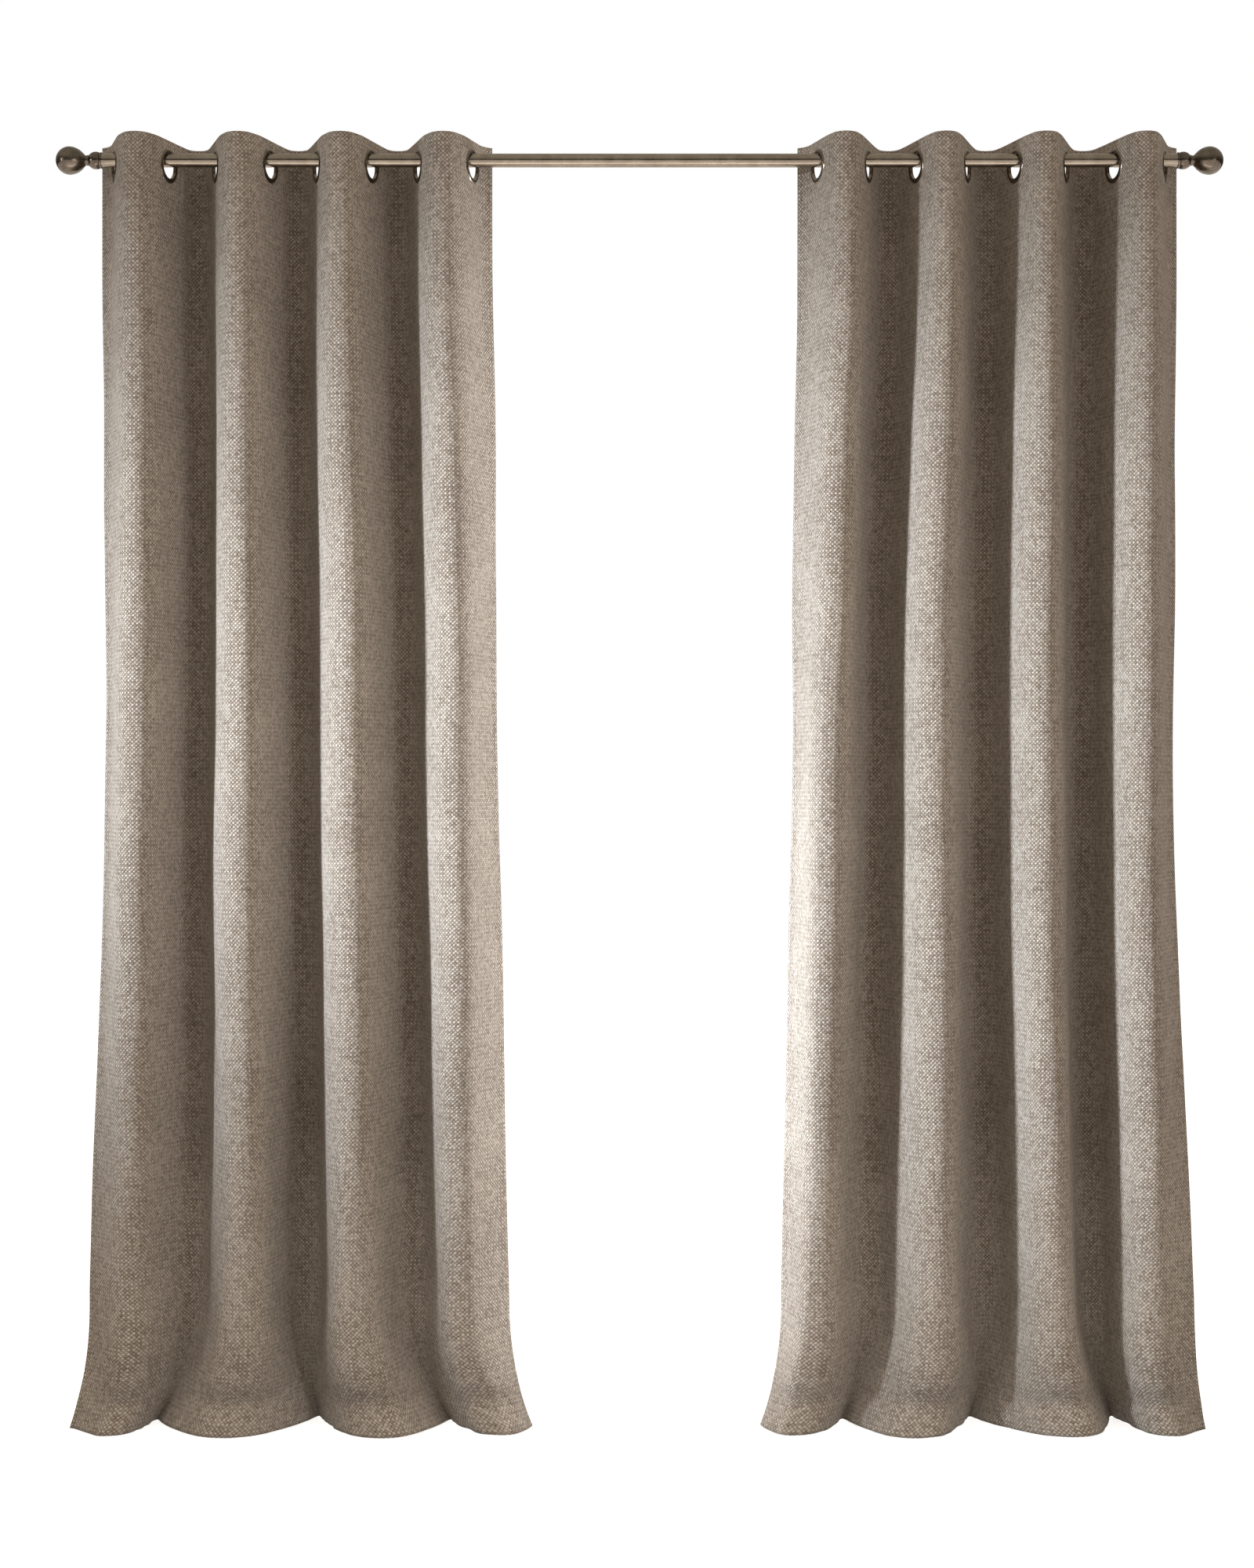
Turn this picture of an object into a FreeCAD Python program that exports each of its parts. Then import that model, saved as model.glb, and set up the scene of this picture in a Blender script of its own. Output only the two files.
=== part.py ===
import FreeCAD, Part
import math
import os

import Sketcher

# A pair of grommet-top curtain panels on a wall-mounted rod with ball finials.
#
# Millimetres. The wall is the plane y = 0 and the room is on its -Y side. The origin lies on the
# wall, midway between the two brackets and level with the rod's axis; +X runs along the rod to
# the right as seen from the room, +Z is up. Pleats and grommets are numbered from the outer end
# of each panel (1, held between bracket and finial) to its leading edge (8, which is drawn).

doc = FreeCAD.newDocument("curtains")

# ---------------------------------------------------------------------------------------------
# Driving dimensions
# ---------------------------------------------------------------------------------------------
DIMENSIONS = [
    # rod
    ("rod_diameter", 22.2),
    ("rod_wall", 1.0),
    ("rod_length", 1756.0),
    ("rod_projection", 98.0),
    # finials, measured along the rod from the tube's end
    ("collar_radius", 14.2),
    ("collar_length", 25.5),
    ("collar_rim_end", 2.4),
    ("collar_rim_inset", 1.1),
    ("collar_groove_start", 2.9),
    ("collar_groove_end", 3.6),
    ("collar_groove_inset", 2.2),
    ("collar_bead_start", 4.2),
    ("collar_bead_end", 18.0),
    ("collar_bead_inset", 2.7),
    ("collar_cone_end", 20.6),
    ("collar_cone_step", 1.2),
    ("collar_neck_start", 21.4),
    ("collar_neck_end", 23.0),
    ("collar_neck_step", 0.6),
    ("neck_radius", 8.1),
    ("spigot_length", 16.0),
    ("stud_radius", 3.0),
    ("stud_length", 17.0),
    ("neck_length", 1.0),
    ("ball_radius", 22.7),
    ("ball_centre", 52.5),
    # wall brackets
    ("bracket_offset", 826.0),
    ("plate_width", 26.0),
    ("plate_height", 62.0),
    ("plate_thickness", 3.0),
    ("plate_corner", 6.0),
    ("screw_spacing", 42.0),
    ("screw_hole_radius", 2.5),
    ("arm_radius", 5.0),
    ("boss_radius", 10.0),
    ("boss_length", 6.0),
    ("cup_wall", 2.4),
    ("cup_width", 15.0),
    ("cup_height", 6.0),
    ("cup_clearance", 0.05),
    ("boss_cone_length", 2.4),
    ("arm_root_overlap", 1.2),
    ("thumb_shank_radius", 2.5),
    ("thumb_head_radius", 6.5),
    ("thumb_head_length", 8.0),
    ("thumb_head_gap", 0.6),
    ("thumb_edge", 1.0),
    ("thumb_collar_step", 1.2),
    ("thumb_collar_length", 1.4),
    ("thumb_tip_chamfer", 0.8),
    # grommets: an eyelet from the face, clinched over a washer at the back
    ("eyelet_bore_radius", 20.5),
    ("eyelet_barrel_wall", 0.8),
    ("eyelet_flange_radius", 28.0),
    ("eyelet_dome_radius", 6.4),
    ("eyelet_lip", 0.6),
    ("eyelet_lip_reach", 1.6),
    ("eyelet_inner_rise", 1.0),
    ("washer_chamfer", 0.9),
    ("washer_thickness", 1.3),
    ("hang_gap", 0.3),
    ("seat_gap", 0.1),
    # cloth
    ("cloth_thickness", 1.6),
    ("grommet_pitch_flat", 168.0),
    ("edge_flap", 60.0),
    ("leaf_angle", 71.0),
    ("header_top", 32.0),
    ("header_depth", 60.0),
    ("floor_drop", 2070.0),
    ("pleat_gap", 1.5),
    ("outer_grommet", 857.0),
    ("left_front_pitch", 88.0),
    ("left_back_pitch", 77.3),
    ("right_front_pitch", 82.0),
    ("right_back_pitch", 79.3),
    ("hem_spread_outer", 25.0),
    ("hem_spread_leading", 32.0),
]
GROMMETS = 8
SIDES = {"left": -1, "right": 1}


class Dim:
    """A number that also knows the expression that binds it to the sheet."""

    def __init__(self, text, value):
        self.text = text
        self.value = float(value)

    @staticmethod
    def of(other):
        return other if isinstance(other, Dim) else Dim(repr(float(other)), other)

    def __add__(self, other):
        other = Dim.of(other)
        return Dim(f"({self.text} + {other.text})", self.value + other.value)

    def __sub__(self, other):
        other = Dim.of(other)
        return Dim(f"({self.text} - {other.text})", self.value - other.value)

    def __mul__(self, factor):
        return Dim(f"({self.text} * {float(factor)})", self.value * factor)

    def __truediv__(self, factor):
        return Dim(f"({self.text} / {float(factor)})", self.value / factor)

    def __neg__(self):
        return self * -1


sheet = doc.addObject("Spreadsheet::Sheet", "dims")
for row, (alias, number) in enumerate(DIMENSIONS, start=1):
    sheet.set(f"A{row}", alias)
    sheet.set(f"B{row}", str(number))
    sheet.setAlias(f"B{row}", alias)
doc.recompute()


def dim(alias):
    """The sheet's cell of that name, as a bound number."""
    return Dim(f"dims.{alias}", sheet.get(alias))


# ---------------------------------------------------------------------------------------------
# Helpers for PartDesign bodies
# ---------------------------------------------------------------------------------------------
def new_body(label):
    """An empty body whose label becomes its file's name."""
    body = doc.addObject("PartDesign::Body", label)
    body.Label = label
    return body


def new_sketch(body, name, role):
    """A sketch on one of the body's own origin planes."""
    plane = next(f for f in body.Origin.OriginFeatures if f.Role == role)
    sketch = body.newObject("Sketcher::SketchObject", f"{body.Label}_{name}")
    sketch.AttachmentSupport = (plane, [""])
    sketch.MapMode = "FlatFace"
    return sketch


def bind(sketch, constraint, bound):
    """Adds a constraint and ties its value to the sheet."""
    index = sketch.addConstraint(constraint)
    sketch.setExpression(f"Constraints[{index}]", bound.text)


def pin_point(sketch, geometry, point, across, up):
    """Fixes a point of a curve at (across, up) from the sketch's origin."""
    bind(
        sketch,
        Sketcher.Constraint("DistanceX", -1, 1, geometry, point, across.value),
        across,
    )
    bind(sketch, Sketcher.Constraint("DistanceY", -1, 1, geometry, point, up.value), up)


def arc_between(start, end, radius, side):
    """The arc of that radius from start to end whose middle lies to the left (+1) or right (-1)."""
    chord = end - start
    half = chord.Length / 2
    rise = radius - math.sqrt(max(radius**2 - half**2, 0))
    normal = FreeCAD.Vector(-chord.y, chord.x, 0).normalize() * side
    return Part.Arc(start, (start + end) / 2 + normal * rise, end)


def closed_profile(sketch, corners):
    """Draws a closed outline. Each corner is (across, up) or (across, up, radius, side), where the
    last two make the stretch from this corner to the next an arc."""
    places = [FreeCAD.Vector(c[0].value, c[1].value, 0) for c in corners]
    for index, corner in enumerate(corners):
        start = places[index]
        end = places[(index + 1) % len(corners)]
        if len(corner) == 4:
            curve = arc_between(start, end, corner[2].value, corner[3])
        else:
            curve = Part.LineSegment(start, end)
        sketch.addGeometry(curve)
    for index, corner in enumerate(corners):
        following = (index + 1) % len(corners)
        arc_runs_backwards = (
            len(corner) == 4
            and (sketch.Geometry[index].StartPoint - places[index]).Length > 1e-6
        )
        first, last = (2, 1) if arc_runs_backwards else (1, 2)
        next_corner = corners[following]
        next_backwards = (
            len(next_corner) == 4
            and (sketch.Geometry[following].StartPoint - places[following]).Length > 1e-6
        )
        next_first = 2 if next_backwards else 1
        sketch.addConstraint(
            Sketcher.Constraint("Coincident", index, last, following, next_first)
        )
        pin_point(sketch, index, first, corner[0], corner[1])
        if len(corner) == 4:
            bind(
                sketch,
                Sketcher.Constraint("Radius", index, corner[2].value),
                corner[2],
            )


def revolved(label, corners):
    """A body turned about its own Z axis from an outline of (radius, height) corners."""
    body = new_body(label)
    sketch = new_sketch(body, "profile", "XZ_Plane")
    closed_profile(sketch, corners)
    turn = body.newObject("PartDesign::Revolution", f"{label}_turned")
    turn.Profile = sketch
    turn.ReferenceAxis = (sketch, ["V_Axis"])
    turn.Angle = 360.0
    sketch.Visibility = False
    return body


def put(body, x, y, z, rotation):
    """Places a body, with its position bound to the sheet."""
    body.Placement = FreeCAD.Placement(
        FreeCAD.Vector(x.value, y.value, z.value), rotation
    )
    for axis, bound in (("x", x), ("y", y), ("z", z)):
        body.setExpression(f"Placement.Base.{axis}", bound.text)


ZERO = Dim("0", 0)
UPRIGHT = FreeCAD.Rotation()
ROD_RADIUS = dim("rod_diameter") / 2
ROD_Y = -dim("rod_projection")


def turned_to(direction):
    """The rotation that points a body's Z axis along direction."""
    return FreeCAD.Rotation(FreeCAD.Vector(0, 0, 1), direction)


# ---------------------------------------------------------------------------------------------
# Rod and finials
# ---------------------------------------------------------------------------------------------
def rod_tube():
    """The rod: one straight drawn tube, open at both ends for the finials' spigots."""
    label = "rod_tube"
    body = new_body(label)
    sketch = new_sketch(body, "ring", "YZ_Plane")
    for index, radius in enumerate((ROD_RADIUS, ROD_RADIUS - dim("rod_wall"))):
        sketch.addGeometry(
            Part.Circle(FreeCAD.Vector(), FreeCAD.Vector(0, 0, 1), radius.value)
        )
        sketch.addConstraint(Sketcher.Constraint("Coincident", index, 3, -1, 1))
        bind(sketch, Sketcher.Constraint("Radius", index, radius.value), radius)
    pad = body.newObject("PartDesign::Pad", f"{label}_drawn")
    pad.Profile = sketch
    pad.setExpression("Length", "dims.rod_length")
    put(body, -dim("rod_length") / 2, ROD_Y, ZERO, UPRIGHT)


def finial_collar(side, sign):
    """The turned collar that plugs the tube's end, with a bore for the ball's stud."""
    length = dim("collar_length")
    bore = dim("stud_radius") + dim("seat_gap")
    spigot = ROD_RADIUS - dim("rod_wall") - dim("seat_gap")
    rim = dim("collar_radius") - dim("collar_rim_inset")
    groove = dim("collar_radius") - dim("collar_groove_inset")
    step = dim("neck_radius") + dim("collar_neck_step")
    corners = [
        (bore, -dim("spigot_length")),
        (spigot, -dim("spigot_length")),
        (spigot, dim("seat_gap")),
        (rim, dim("seat_gap")),
        (rim, dim("collar_rim_end")),
        (groove, dim("collar_groove_start")),
        (groove, dim("collar_groove_end")),
        (rim, dim("collar_bead_start"), dim("collar_radius"), -1),
        (dim("collar_radius") - dim("collar_bead_inset"), dim("collar_bead_end")),
        (dim("neck_radius") + dim("collar_cone_step"), dim("collar_cone_end")),
        (step, dim("collar_neck_start")),
        (step, dim("collar_neck_end")),
        (dim("neck_radius"), length),
        (bore, length),
    ]
    body = revolved(f"{side}_finial_collar", corners)
    put(
        body,
        dim("rod_length") * (0.5 * sign),
        ROD_Y,
        ZERO,
        turned_to(FreeCAD.Vector(sign, 0, 0)),
    )


def finial_ball(side, sign):
    """The pear-necked ball, screwed into the collar by its stud."""
    seat = dim("collar_length") + dim("seat_gap")
    ball = dim("ball_radius")
    centre = dim("ball_centre")
    corners = [
        (ZERO, seat - dim("stud_length")),
        (dim("stud_radius"), seat - dim("stud_length")),
        (dim("stud_radius"), seat),
        (dim("neck_radius"), seat),
        (dim("neck_radius"), seat + dim("neck_length")),
        (ball * 0.66, centre - ball * 0.84, ball * 1.35, -1),
        (ball, centre, ball, -1),
        (ZERO, centre + ball),
    ]
    body = revolved(f"{side}_finial_ball", corners)
    put(
        body,
        dim("rod_length") * (0.5 * sign),
        ROD_Y,
        ZERO,
        turned_to(FreeCAD.Vector(sign, 0, 0)),
    )


# ---------------------------------------------------------------------------------------------
# Wall brackets
# ---------------------------------------------------------------------------------------------
def bracket_plate(side, sign):
    """The wall plate: a rounded plate with two screw holes, one above and one below the arm."""
    label = f"{side}_bracket_plate"
    body = new_body(label)
    sketch = new_sketch(body, "outline", "XZ_Plane")
    half_width = dim("plate_width") / 2
    half_height = dim("plate_height") / 2
    closed_profile(
        sketch,
        [
            (-half_width, -half_height),
            (half_width, -half_height),
            (half_width, half_height),
            (-half_width, half_height),
        ],
    )
    pad = body.newObject("PartDesign::Pad", f"{label}_blank")
    pad.Profile = sketch
    pad.setExpression("Length", "dims.plate_thickness")
    doc.recompute()
    blank_volume = pad.Shape.Volume
    rounded = body.newObject("PartDesign::Fillet", f"{label}_corners")
    upright_edges = [
        f"Edge{number}"
        for number, edge in enumerate(pad.Shape.Edges, start=1)
        if abs(edge.tangentAt(edge.FirstParameter).y) > 0.99
    ]
    rounded.Base = (pad, upright_edges)
    rounded.setExpression("Radius", "dims.plate_corner")
    holes = new_sketch(body, "holes", "XZ_Plane")
    for index, sense in enumerate((-1, 1)):
        height = dim("screw_spacing") * (0.5 * sense)
        holes.addGeometry(
            Part.Circle(
                FreeCAD.Vector(0, height.value, 0),
                FreeCAD.Vector(0, 0, 1),
                dim("screw_hole_radius").value,
            )
        )
        pin_point(holes, index, 3, ZERO, height)
        bind(
            holes,
            Sketcher.Constraint("Radius", index, dim("screw_hole_radius").value),
            dim("screw_hole_radius"),
        )
    drilled = body.newObject("PartDesign::Pocket", f"{label}_drilled")
    drilled.Profile = holes
    drilled.Type = "ThroughAll"
    drilled.Reversed = True
    doc.recompute()
    hole_volume = 2 * math.pi * dim("screw_hole_radius").value ** 2 * pad.Length.Value
    corner_volume = (4 - math.pi) * dim("plate_corner").value ** 2 * pad.Length.Value
    expected = blank_volume - hole_volume - corner_volume
    if abs(drilled.Shape.Volume - expected) > 1.0:
        raise RuntimeError(f"{label}: the screw holes or corners were not cut")
    put(body, dim("bracket_offset") * sign, ZERO, ZERO, UPRIGHT)


def bracket_arm(side, sign):
    """The arm and the open-topped cup that the rod lies in, cast as one piece."""
    label = f"{side}_bracket_arm"
    inner = ROD_RADIUS + dim("cup_clearance")
    outer = inner + dim("cup_wall")
    half_width = dim("cup_width") / 2
    body = new_body(label)
    section = new_sketch(body, "cup", "YZ_Plane")
    rim = dim("cup_height")
    section.addGeometry(
        [
            Part.LineSegment(
                FreeCAD.Vector(-outer.value, rim.value, 0),
                FreeCAD.Vector(-outer.value, 0, 0),
            ),
            Part.ArcOfCircle(
                Part.Circle(FreeCAD.Vector(), FreeCAD.Vector(0, 0, 1), outer.value),
                math.pi,
                2 * math.pi,
            ),
            Part.LineSegment(
                FreeCAD.Vector(outer.value, 0, 0),
                FreeCAD.Vector(outer.value, rim.value, 0),
            ),
            Part.LineSegment(
                FreeCAD.Vector(outer.value, rim.value, 0),
                FreeCAD.Vector(inner.value, rim.value, 0),
            ),
            Part.LineSegment(
                FreeCAD.Vector(inner.value, rim.value, 0),
                FreeCAD.Vector(inner.value, 0, 0),
            ),
            Part.ArcOfCircle(
                Part.Circle(FreeCAD.Vector(), FreeCAD.Vector(0, 0, 1), inner.value),
                math.pi,
                2 * math.pi,
            ),
            Part.LineSegment(
                FreeCAD.Vector(-inner.value, 0, 0),
                FreeCAD.Vector(-inner.value, rim.value, 0),
            ),
            Part.LineSegment(
                FreeCAD.Vector(-inner.value, rim.value, 0),
                FreeCAD.Vector(-outer.value, rim.value, 0),
            ),
        ]
    )
    for first, second in ((0, 1), (1, 2)):
        section.addConstraint(Sketcher.Constraint("Tangent", first, 2, second, 1))
    for first, second in ((2, 3), (3, 4), (6, 7)):
        section.addConstraint(Sketcher.Constraint("Coincident", first, 2, second, 1))
    section.addConstraint(Sketcher.Constraint("Coincident", 7, 2, 0, 1))
    section.addConstraint(Sketcher.Constraint("Tangent", 4, 2, 5, 2))
    section.addConstraint(Sketcher.Constraint("Tangent", 5, 1, 6, 1))
    for arc, radius in ((1, outer), (5, inner)):
        section.addConstraint(Sketcher.Constraint("Coincident", arc, 3, -1, 1))
        bind(section, Sketcher.Constraint("Radius", arc, radius.value), radius)
    for line in (0, 2, 4, 6):
        section.addConstraint(Sketcher.Constraint("Vertical", line))
    for line in (3, 7):
        section.addConstraint(Sketcher.Constraint("Horizontal", line))
        bind(
            section, Sketcher.Constraint("DistanceY", -1, 1, line, 2, rim.value), rim
        )
    cup = body.newObject("PartDesign::Pad", f"{label}_cup")
    cup.Profile = section
    cup.setExpression("Length", "dims.cup_width")

    arm_start = outer - dim("arm_root_overlap")
    arm_end = dim("rod_projection") - dim("plate_thickness") - dim("cup_clearance")
    boss_start = arm_end - dim("boss_length")
    outline = new_sketch(body, "arm", "XY_Plane")
    closed_profile(
        outline,
        [
            (half_width, arm_start),
            (half_width + dim("arm_radius"), arm_start),
            (half_width + dim("arm_radius"), boss_start),
            (half_width + dim("boss_radius"), boss_start + dim("boss_cone_length")),
            (half_width + dim("boss_radius"), arm_end),
            (half_width, arm_end),
        ],
    )
    arm = body.newObject("PartDesign::Revolution", f"{label}_arm")
    arm.Profile = outline
    arm.ReferenceAxis = (outline, ["Edge6"])
    arm.Angle = 360.0

    tapped = new_sketch(body, "tapped_hole", "XY_Plane")
    tapped.addGeometry(
        Part.Circle(
            FreeCAD.Vector(half_width.value, 0, 0),
            FreeCAD.Vector(0, 0, 1),
            dim("thumb_shank_radius").value,
        )
    )
    pin_point(tapped, 0, 3, half_width, ZERO)
    tapped_radius = dim("thumb_shank_radius") + dim("seat_gap")
    bind(tapped, Sketcher.Constraint("Radius", 0, tapped_radius.value), tapped_radius)
    doc.recompute()
    solid_volume = arm.Shape.Volume
    thread = body.newObject("PartDesign::Pocket", f"{label}_thread")
    thread.Profile = tapped
    thread.Type = "ThroughAll"
    doc.recompute()
    if thread.Shape.Volume > solid_volume - 10:
        raise RuntimeError(f"{label}: the thumbscrew's hole was not cut")
    put(
        body,
        dim("bracket_offset") * sign - half_width,
        ROD_Y,
        ZERO,
        UPRIGHT,
    )


def bracket_thumbscrew(side, sign):
    """The thumbscrew that comes up through the cup and clamps the rod in it."""
    tip = -(ROD_RADIUS + dim("cup_clearance"))
    under_cup = tip - dim("cup_wall") - dim("thumb_head_gap")
    base = under_cup - dim("thumb_head_length")
    head = dim("thumb_head_radius")
    shank = dim("thumb_shank_radius")
    collar = shank + dim("thumb_collar_step")
    collar_foot = under_cup - dim("thumb_collar_length")
    edge = dim("thumb_edge")
    chamfer = dim("thumb_tip_chamfer")
    body = revolved(
        f"{side}_bracket_thumbscrew",
        [
            (ZERO, base),
            (head - edge, base),
            (head, base + edge),
            (head, collar_foot - dim("thumb_collar_step")),
            (collar, collar_foot),
            (collar, under_cup),
            (shank, under_cup),
            (shank, tip - chamfer),
            (shank - chamfer, tip),
            (ZERO, tip),
        ],
    )
    put(body, dim("bracket_offset") * sign, ROD_Y, ZERO, UPRIGHT)


# ---------------------------------------------------------------------------------------------
# The lie of the cloth
# ---------------------------------------------------------------------------------------------
# Along the rod, u runs from a panel's outer grommet towards its leading edge, and v from the
# rod's axis into the room. The cloth crosses the rod at each grommet in a flat leaf, and round
# folds join the leaves: in front of the rod after an odd grommet, behind it after an even one.
LEAF = math.radians(sheet.leaf_angle)
COS_LEAF = math.cos(LEAF)
SIN_LEAF = math.sin(LEAF)


def pitch_after(side, index):
    """The distance along the rod from a grommet to the next one."""
    span = "front" if index % 2 else "back"
    return dim(f"{side}_{span}_pitch")


def grommet_u(side, index):
    """A grommet's place along the rod, from its panel's outer grommet."""
    place = ZERO
    for earlier in range(1, index):
        place = place + pitch_after(side, earlier)
    return place


def fold_of(pitch, flat_pitch):
    """The fold's radius, and the length of straight leaf on each side of it, that use up the
    flat distance between two grommets hung at that pitch."""
    flat_half = flat_pitch / 2
    radius = (pitch - 2 * COS_LEAF * flat_half) / (2 * (SIN_LEAF - COS_LEAF * LEAF))
    return radius, flat_half - LEAF * radius


def leaf_direction(index):
    """The way along the leaf, towards the leading edge, in (u, v)."""
    return (COS_LEAF, SIN_LEAF if index % 2 else -SIN_LEAF)


def face_normal(index):
    """The normal of the leaf's room side, in (u, v)."""
    along, out = leaf_direction(index)
    return (-out, along)


def to_space(side, u, v, z):
    """A point of the panel in the part's own frame."""
    outer = sheet.outer_grommet
    return FreeCAD.Vector(SIDES[side] * (outer - u), -sheet.rod_projection - v, z)


def pleat_section(side, index, widening, shift, z):
    """The closed outline of one pleat's cloth at height z, as a wire."""
    direction = leaf_direction(index)
    normal = face_normal(index)
    u = grommet_u(side, index).value * widening + shift
    gap = sheet.pleat_gap

    def reach(pitch_index):
        pitch = pitch_after(side, pitch_index).value * widening
        return fold_of(pitch, sheet.grommet_pitch_flat)

    behind = sheet.edge_flap if index == 1 else reach(index - 1)[1] - gap
    if index == GROMMETS:
        radius, ahead = None, sheet.edge_flap
    else:
        radius, ahead = reach(index)

    def on_leaf(distance, offset):
        return to_space(
            side,
            u + direction[0] * distance + normal[0] * offset,
            direction[1] * distance + normal[1] * offset,
            z,
        )

    half = sheet.cloth_thickness / 2
    edges = [Part.LineSegment(on_leaf(-behind, half), on_leaf(ahead, half)).toShape()]
    if radius is None:
        edges.append(
            Part.LineSegment(on_leaf(ahead, half), on_leaf(ahead, -half)).toShape()
        )
    else:
        swing = 1 if index % 2 else -1
        centre_u = u + direction[0] * ahead + SIN_LEAF * radius
        centre_v = direction[1] * ahead - swing * COS_LEAF * radius
        end_angle = LEAF - gap / (4 * radius)

        def on_fold(angle, offset):
            r = radius + swing * offset
            return to_space(
                side,
                centre_u + math.sin(angle) * r,
                centre_v + swing * math.cos(angle) * r,
                z,
            )

        for offset, order in ((half, (-LEAF, 0, end_angle)), (-half, (end_angle, 0, -LEAF))):
            points = [on_fold(angle, offset) for angle in order]
            if offset < 0:
                edges.append(
                    Part.LineSegment(on_fold(end_angle, half), points[0]).toShape()
                )
            edges.append(Part.Arc(*points).toShape())
    edges.append(
        Part.LineSegment(on_leaf(ahead, -half), on_leaf(-behind, -half)).toShape()
    )
    edges.append(
        Part.LineSegment(on_leaf(-behind, -half), on_leaf(-behind, half)).toShape()
    )
    return Part.Wire(edges)


def ring_height():
    """The grommets hang on the rod, so their centre lies below its axis."""
    return -(dim("eyelet_bore_radius") - ROD_RADIUS - dim("hang_gap"))


def pleat(side, index):
    """One pleat of cloth: the leaf round a grommet and the fold that leads to the next one.
    It is upright at the header and widens slightly on its way down to the floor."""
    span = grommet_u(side, GROMMETS).value
    widening = 1 + (sheet.hem_spread_outer + sheet.hem_spread_leading) / span
    header_foot = sheet.header_top - sheet.header_depth - sheet.eyelet_flange_radius
    sections = [
        pleat_section(side, index, 1.0, 0.0, sheet.header_top),
        pleat_section(side, index, 1.0, 0.0, header_foot),
        pleat_section(side, index, widening, -sheet.hem_spread_outer, -sheet.floor_drop),
    ]
    cloth = Part.makeLoft(sections, True, True)
    centre = to_space(side, grommet_u(side, index).value, 0, ring_height().value)
    axis = normal_in_space(side, index)
    hole_radius = (
        sheet.eyelet_bore_radius + sheet.eyelet_barrel_wall + 2 * sheet.seat_gap
    )
    depth = 10 * sheet.cloth_thickness
    hole = Part.makeCylinder(hole_radius, depth, centre - axis * (depth / 2), axis)
    feature = doc.addObject("Part::Feature", f"{side}_pleat_{index}")
    feature.Label = f"{side}_pleat_{index}"
    feature.Shape = cloth.cut(hole)


def normal_in_space(side, index):
    """The room-side normal of a leaf as a vector of the part's own frame."""
    u, v = face_normal(index)
    return FreeCAD.Vector(-SIDES[side] * u, -v, 0)


# ---------------------------------------------------------------------------------------------
# Grommets
# ---------------------------------------------------------------------------------------------
def grommet_placement(side, index):
    """Where a grommet's axis meets the middle of the cloth, and the turn onto that axis."""
    u = grommet_u(side, index)
    x = (dim("outer_grommet") - u) * SIDES[side]
    return x, ROD_Y, ring_height(), turned_to(normal_in_space(side, index))


def grommet_eyelet(side, index):
    """The domed ring on the room side, with its barrel through the cloth and its clinched lip."""
    bore = dim("eyelet_bore_radius")
    barrel = bore + dim("eyelet_barrel_wall")
    face = dim("cloth_thickness") / 2 + dim("seat_gap")
    clinch = face + dim("washer_thickness") + dim("seat_gap")
    body = revolved(
        f"{side}_eyelet_{index}",
        [
            (bore, -(clinch + dim("eyelet_lip"))),
            (barrel + dim("eyelet_lip_reach"), -(clinch + dim("eyelet_lip"))),
            (barrel + dim("eyelet_lip_reach"), -clinch),
            (barrel, -clinch),
            (barrel, face),
            (dim("eyelet_flange_radius"), face, dim("eyelet_dome_radius"), -1),
            (bore, face + dim("eyelet_inner_rise")),
        ],
    )
    put(body, *grommet_placement(side, index))


def grommet_washer(side, index):
    """The plain ring on the window side that the eyelet's barrel is clinched over."""
    hole = dim("eyelet_bore_radius") + dim("eyelet_barrel_wall") + dim("seat_gap")
    face = dim("cloth_thickness") / 2 + dim("seat_gap")
    back = face + dim("washer_thickness")
    rim = dim("eyelet_flange_radius")
    chamfer = dim("washer_chamfer")
    body = revolved(
        f"{side}_washer_{index}",
        [
            (hole, -back),
            (rim - chamfer, -back),
            (rim, -(back - chamfer)),
            (rim, -face),
            (hole, -face),
        ],
    )
    put(body, *grommet_placement(side, index))


# ---------------------------------------------------------------------------------------------
# Assembly, checks and files
# ---------------------------------------------------------------------------------------------
def build():
    """Makes every sub-part of the assembly."""
    rod_tube()
    for side, sign in SIDES.items():
        finial_collar(side, sign)
        finial_ball(side, sign)
        bracket_plate(side, sign)
        bracket_arm(side, sign)
        bracket_thumbscrew(side, sign)
        for index in range(1, GROMMETS + 1):
            pleat(side, index)
            grommet_eyelet(side, index)
            grommet_washer(side, index)
    doc.recompute()


def check():
    """Stops on any failed object or bad shape, and returns the sub-parts."""
    for item in doc.Objects:
        if "Invalid" in item.State or "Error" in item.State:
            raise RuntimeError(f"{item.Label} failed: {item.State}")
    nodes = [
        item
        for item in doc.Objects
        if item.TypeId in ("PartDesign::Body", "Part::Feature")
    ]
    for node in nodes:
        if node.Shape.isNull() or not node.Shape.isValid():
            raise RuntimeError(f"{node.Label} has no valid shape")
        if len(node.Shape.Solids) != 1:
            raise RuntimeError(f"{node.Label} is {len(node.Shape.Solids)} solids")
    return nodes


build()
os.makedirs("parts", exist_ok=True)
for node in check():
    node.Shape.exportStep(f"parts/{node.Label}.step")
    print(f"{node.Label}: {node.Shape.Volume / 1000:.2f} cm3")
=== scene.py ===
import math

import bpy
import numpy as np
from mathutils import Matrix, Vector, noise


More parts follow.
